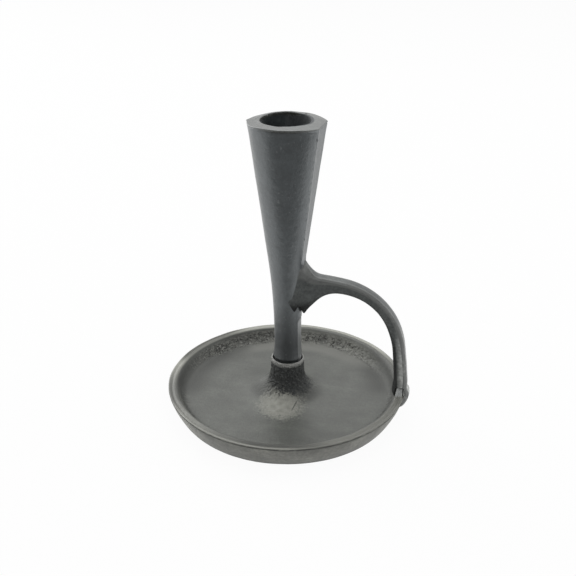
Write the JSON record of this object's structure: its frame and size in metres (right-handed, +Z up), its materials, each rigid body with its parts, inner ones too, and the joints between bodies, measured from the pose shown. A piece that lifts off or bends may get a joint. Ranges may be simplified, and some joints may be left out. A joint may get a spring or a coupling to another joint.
{
  "type": "chamberstick",
  "caption": "Cast-iron chamberstick: round drip tray, trumpet-shaped candle stem screwed into the tray's cup, and a strap finger loop from stem to rim.",
  "frame": {"origin": "centre of the drip tray's underside, on the axis of the candle stem, at the level of the foot ring that stands on the table (the loop's foot reaches a little past the rim, so the box's centre lies about 1 mm towards +X)", "axes": "+Z up along the stem and the candle, +X from the stem towards the finger loop, +Y to complete a right-handed frame; the plane Y = 0 halves the part"},
  "size_m": [0.1181, 0.116, 0.1437],
  "materials": {
    "black_cast_iron": "sand-cast and blacked, satin, with a fine grain and lighter worn edges",
    "zinc_steel": "zinc-plated screw and washers, dull bright"
  },
  "bodies": {
    "root": {"drip_tray": "black_cast_iron", "candle_stem": "black_cast_iron", "finger_loop": "black_cast_iron", "stem_screw": "zinc_steel", "spring_washer": "zinc_steel", "plain_washer": "zinc_steel"}
  },
  "joints": []
}
